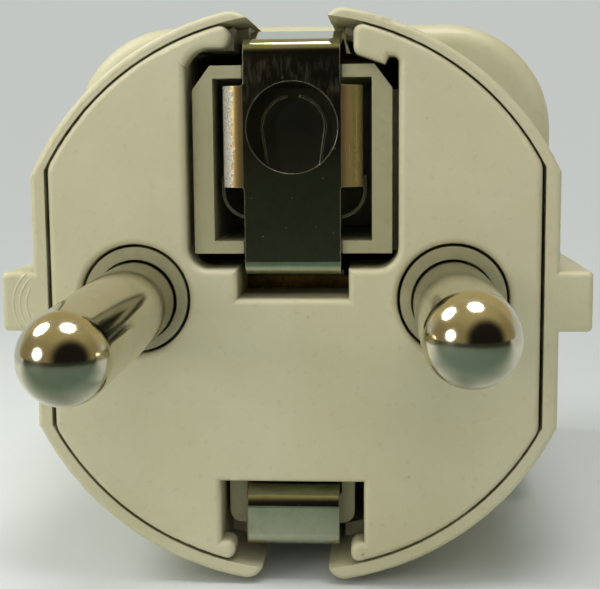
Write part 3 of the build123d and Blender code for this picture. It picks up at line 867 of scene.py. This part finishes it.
# %% Rings of a pin
PIN_SIDES = 96
PIN_TAIL = (10.4, 2.2)
PIN_STEPS = (
    # millimetres behind the face, radius in millimetres
    (9.8, 2.2),
    (9.8, 1.6),
    (9.0, 1.6),
    (9.0, 2.2),
    (0.04, 2.2),
    (0.0, 2.36),
    (-0.04, 2.4),
    (-6.0, 2.4),
    (-8.7, 2.37),
    (-16.72, 2.28),
)
BALL_CENTRE, BALL_RADIUS = PIN_STEPS[-1]
BALL_RINGS = 28

ball = []
for ring in range(1, BALL_RINGS):
    angle = ring / BALL_RINGS * math.pi / 2
    forward, outward = BALL_RADIUS * math.sin(angle), BALL_RADIUS * math.cos(angle)
    ball.append((BALL_CENTRE - forward, outward))
print("rings of a pin:", 1 + len(PIN_STEPS) + len(ball), "and the tip")

# %% A turned pin
def turned_pin(name):
    """A pin on the Y axis, with its tail behind and its ball end in front."""
    place, radius = PIN_TAIL
    deselect_all()
    bpy.ops.mesh.primitive_circle_add(
        vertices=PIN_SIDES,
        radius=radius * MM,
        fill_type="NGON",
        location=(0, place * MM, 0),
        rotation=(math.pi / 2, 0, 0),
    )
    pin = added(name)
    bpy.ops.object.transform_apply(location=True, rotation=True, scale=True)
    with Editing(pin, "FACE") as edit:
        edit.choose("faces", lambda face: True)
        for next_place, next_radius in (*PIN_STEPS, *ball):
            step = (0, (next_place - place) * MM, 0)
            bpy.ops.mesh.extrude_region_move(TRANSFORM_OT_translate={"value": step})
            scale = next_radius / radius
            bpy.ops.transform.resize(
                value=(scale, scale, scale), center_override=(0, next_place * MM, 0)
            )
            place, radius = next_place, next_radius
        tip = (0, (BALL_CENTRE - BALL_RADIUS - place) * MM, 0)
        bpy.ops.mesh.extrude_region_move(TRANSFORM_OT_translate={"value": tip})
        bpy.ops.mesh.merge(type="CENTER")
        bpy.ops.mesh.select_all(action="SELECT")
        bpy.ops.mesh.normals_make_consistent(inside=False)
    return pin


left_pin = turned_pin("left_pin_turned")
print("a pin has", len(left_pin.data.polygons), "faces")

# %% [markdown]
# ## Pins that aren't quite straight
#
# On the real adapter the pins have been pushed about: the left one points slightly down,
# the right one slightly up, and both toe in. The right pin is a copy of the left, with its
# own mesh. Each is leant about its root and then set into its collar.

# %% Both pins in their places
PIN_HALF_SPACING, PIN_DROP = 9.5, 0.12
PIN_SMOOTHING = math.radians(30)
LEANS = {
    # CAD node: side, lean and toe in degrees
    "line_pin": (-1, 1.3, 0.6),
    "neutral_pin": (1, -1.9, -0.6),
}

right_pin = left_pin.copy()
right_pin.data = left_pin.data.copy()
right_pin.name = right_pin.data.name = "right_pin_turned"
bpy.context.scene.collection.objects.link(right_pin)
for pin, (node, (side, lean, toe)) in zip((left_pin, right_pin), LEANS.items()):
    seat = Matrix.Translation(Vector((side * PIN_HALF_SPACING, 0, -PIN_DROP)) * MM)
    leant = Matrix.Rotation(math.radians(lean), 4, "X")
    toed = Matrix.Rotation(math.radians(toe), 4, "Z")
    pin.matrix_world = seat @ leant @ toed
    select_only(pin)
    bpy.ops.object.transform_apply(location=True, rotation=True, scale=True)
    bpy.ops.object.shade_smooth_by_angle(angle=PIN_SMOOTHING)
    pin.data.materials.append(metals["nickel"])
    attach(pin, "root")
    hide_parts(node)
    tip = min(vert.co.y for vert in pin.data.vertices)
    print(pin.name, "ends at y", round(tip / MM, 2), "mm")

# %% [markdown]
# ## The earth strips, folded like the real ones
#
# A press cuts each strip from sheet and folds it. The same order works in edit mode: a
# flat piece, its ends extruded from fold to fold, and then every fold rounded by a bevel.
# The sheet gets its thickness only after that, so that it is even round each fold. A route
# lists the strip's corners from its foot to the end of its leg, as depth and height in
# millimetres.

# %% Folds
STRIP_HALF_WIDTH = 2.85
FOLD_STEPS = 10
TOUCH = 0.01


def at_fold(depth, height):
    """Test for the edge that lies across the strip at this depth and height."""
    spot = Vector((depth, height))
    return lambda edge: (middle(edge).yz / MM - spot).length < TOUCH


def pull(edit, test, step):
    """Extrudes the edges that pass the test by a step in millimetres."""
    edit.choose("edges", test)
    bpy.ops.mesh.extrude_region_move(
        TRANSFORM_OT_translate={"value": tuple(Vector(step) * MM)}
    )


def taken_by_fold(radius, turn):
    """How much of each side a fold with this centre-line radius and turn takes."""
    return radius * math.tan(turn / 2)


def round_fold(edit, test, radius, turn):
    """Rounds a fold with this centre-line radius, for sheet that turns by this angle."""
    edit.choose("edges", test)
    offset = taken_by_fold(radius, turn) * MM
    bpy.ops.mesh.bevel(offset=offset, segments=FOLD_STEPS, clamp_overlap=False)


print("a square fold takes", round(taken_by_fold(1, math.pi / 2), 2), "of its radius")

# %% A flat strip
FACE_CORNERS = (2, 3)
RUNS_FROM_THE_FACE = ((2, 1), (1, 0), (3, 4), (4, 5))


def flat_strip(name, route, sideways=0.0):
    """The strip's face, with foot and leg pulled out along the route, folds still sharp."""
    face_depth = route[FACE_CORNERS[0]][0]
    bottom, top = sorted(route[corner][1] for corner in FACE_CORNERS)
    deselect_all()
    bpy.ops.mesh.primitive_plane_add(
        size=MM,
        location=(sideways * MM, face_depth * MM, (bottom + top) / 2 * MM),
        rotation=(math.pi / 2, 0, 0),
    )
    strip = added(name)
    strip.scale = (2 * STRIP_HALF_WIDTH, top - bottom, 1)
    bpy.ops.object.transform_apply(location=True, rotation=True, scale=True)
    with Editing(strip) as edit:
        for run in RUNS_FROM_THE_FACE:
            start, end = (route[corner] for corner in run)
            pull(edit, at_fold(*start), (0, end[0] - start[0], end[1] - start[1]))
    return strip


UPPER_ROUTE = (
    (6.85, -1.05),
    (6.85, 1.65),
    (0.75, 1.65),
    (0.75, 15.0),
    (8.0, 16.15),
    (16.8, 15.4),
)
upper_strip = flat_strip("upper_strip_folded", UPPER_ROUTE)
print("the upper strip starts with", len(upper_strip.data.polygons), "faces")

# %% [markdown]
# ## Two wings on the upper strip
#
# The wings stand out from the sides of the face beside the earth hole and bend back. The
# face is cut through at the wings' ends, and the edges between the cuts are pulled out
# sideways and then back.

# %% The wings
WING_BOTTOM, WING_TOP = 6.65, 12.6
WING_PLANE, WING_BACK = 3.93, 5.5
FACE_DEPTH = UPPER_ROUTE[FACE_CORNERS[0]][0]


def wing_edge(place):
    """Test for the upright edge of a wing this far to the side, on the strip's face."""

    def test(edge):
        spot = middle(edge) / MM
        on_face = abs(spot.y - FACE_DEPTH) < TOUCH and WING_BOTTOM < spot.z < WING_TOP
        return on_face and abs(spot.x - place) < TOUCH

    return test


with Editing(upper_strip) as edit:
    for level in (WING_BOTTOM, WING_TOP):
        bpy.ops.mesh.select_all(action="SELECT")
        bpy.ops.mesh.bisect(plane_co=(0, 0, level * MM), plane_no=(0, 0, 1))
    for side in (-1, 1):
        out = side * (WING_PLANE - STRIP_HALF_WIDTH)
        pull(edit, wing_edge(side * STRIP_HALF_WIDTH), (out, 0, 0))
        pull(edit, wing_edge(side * WING_PLANE), (0, WING_BACK - FACE_DEPTH, 0))
print("with its wings it has", len(upper_strip.data.polygons), "faces")

# %% [markdown]
# ## Rounded roots and folds
#
# A sharp inner corner would crack in the press, so the wings' roots are rounded first,
# while the sheet is still sharp at its folds. Then each fold gets its own radius: tight at
# the face, wide where the leg bows.

# %% Roots and folds of the upper strip
WING_ROOT_ROUND, WING_ROOT_STEPS = 0.22, 6
WING_FOLD = 0.85
UPPER_RADII = (0.6, 0.6, 0.6, 6.0)


def wing_root(vert):
    """Test for the inner corners where the wings leave the strip."""
    spot = vert.co / MM
    off_level = min(abs(spot.z - WING_BOTTOM), abs(spot.z - WING_TOP))
    off_side = abs(abs(spot.x) - STRIP_HALF_WIDTH)
    return max(off_level, off_side, abs(spot.y - FACE_DEPTH)) < TOUCH


def round_folds(strip, route, radii):
    with Editing(strip) as edit:
        for corner, radius in enumerate(radii, start=1):
            before = Vector(route[corner]) - Vector(route[corner - 1])
            after = Vector(route[corner + 1]) - Vector(route[corner])
            round_fold(edit, at_fold(*route[corner]), radius, before.angle(after))


with Editing(upper_strip, "VERT") as edit:
    roots = edit.choose("verts", wing_root)
    bpy.ops.mesh.bevel(
        offset=WING_ROOT_ROUND * MM, segments=WING_ROOT_STEPS, affect="VERTICES"
    )
with Editing(upper_strip) as edit:
    for side in (-1, 1):
        round_fold(edit, wing_edge(side * WING_PLANE), WING_FOLD, math.pi / 2)
round_folds(upper_strip, UPPER_ROUTE, UPPER_RADII)
print("wing roots rounded:", roots)

# %% [markdown]
# ## Thickness, a punched hole and broken edges
#
# Solidify makes the sheet half a millimetre thick, half of it to each side. The earth
# hole is then punched with a cylinder, and a small bevel breaks the edges. Weighted
# normals keep the flat areas flat, which a mirror surface needs.

# %% Finishing a strip
SHEET_THICKNESS = 0.5
EDGE_BREAK, EDGE_STEPS, EDGE_ANGLE = 0.07, 3, math.radians(50)
STRIP_SMOOTHING = math.radians(35)
FLAT_FACES_FIRST = 100


def apply_modifier(piece, kind, **settings):
    select_only(piece)
    modifier = piece.modifiers.new(kind.lower(), kind)
    for name, setting in settings.items():
        setattr(modifier, name, setting)
    bpy.ops.object.modifier_apply(modifier=modifier.name)


def thicken(strip):
    thickness = SHEET_THICKNESS * MM
    apply_modifier(strip, "SOLIDIFY", thickness=thickness, offset=0, use_even_offset=True)
    print(strip.name, "is a closed sheet of", len(strip.data.polygons), "faces")


def finish_strip(strip, node):
    apply_modifier(
        strip,
        "BEVEL",
        width=EDGE_BREAK * MM,
        segments=EDGE_STEPS,
        limit_method="ANGLE",
        angle_limit=EDGE_ANGLE,
        use_clamp_overlap=True,
    )
    bpy.ops.object.shade_smooth_by_angle(angle=STRIP_SMOOTHING)
    apply_modifier(
        strip,
        "WEIGHTED_NORMAL",
        mode="FACE_AREA",
        weight=FLAT_FACES_FIRST,
        keep_sharp=True,
    )
    strip.data.materials.append(nickel_sheet)
    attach(strip, "root")
    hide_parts(node)
    print(strip.name, "has", len(strip.data.polygons), "faces")


thicken(upper_strip)

# %% The earth hole
HOLE_HEIGHT, HOLE_RADIUS, HOLE_SIDES = 10.15, 2.7, 128
PUNCH_LENGTH = 2

deselect_all()
bpy.ops.mesh.primitive_cylinder_add(
    vertices=HOLE_SIDES,
    radius=HOLE_RADIUS * MM,
    depth=PUNCH_LENGTH * MM,
    location=(0, FACE_DEPTH * MM, HOLE_HEIGHT * MM),
    rotation=(math.pi / 2, 0, 0),
)
punch = added("punch")
apply_modifier(upper_strip, "BOOLEAN", object=punch, operation="DIFFERENCE", solver="EXACT")
bpy.data.objects.remove(punch)
finish_strip(upper_strip, "upper_earth_strip")

# %% [markdown]
# ## The lower strip
#
# The short strip below the pins is folded by the same functions. It has no wings and no
# hole, and it sits a little to the left of the middle.

# %% The lower strip
LOWER_ROUTE = (
    (6.85, -9.25),
    (6.85, -11.95),
    (0.75, -11.95),
    (0.75, -15.05),
    (8.0, -16.15),
    (16.8, -15.4),
)
LOWER_RADII = (0.6, 1.0, 0.6, 6.0)
LOWER_MIDDLE = -0.15

lower_strip = flat_strip("lower_strip_folded", LOWER_ROUTE, LOWER_MIDDLE)
round_folds(lower_strip, LOWER_ROUTE, LOWER_RADII)
thicken(lower_strip)
finish_strip(lower_strip, "lower_earth_strip")

# %% [markdown]
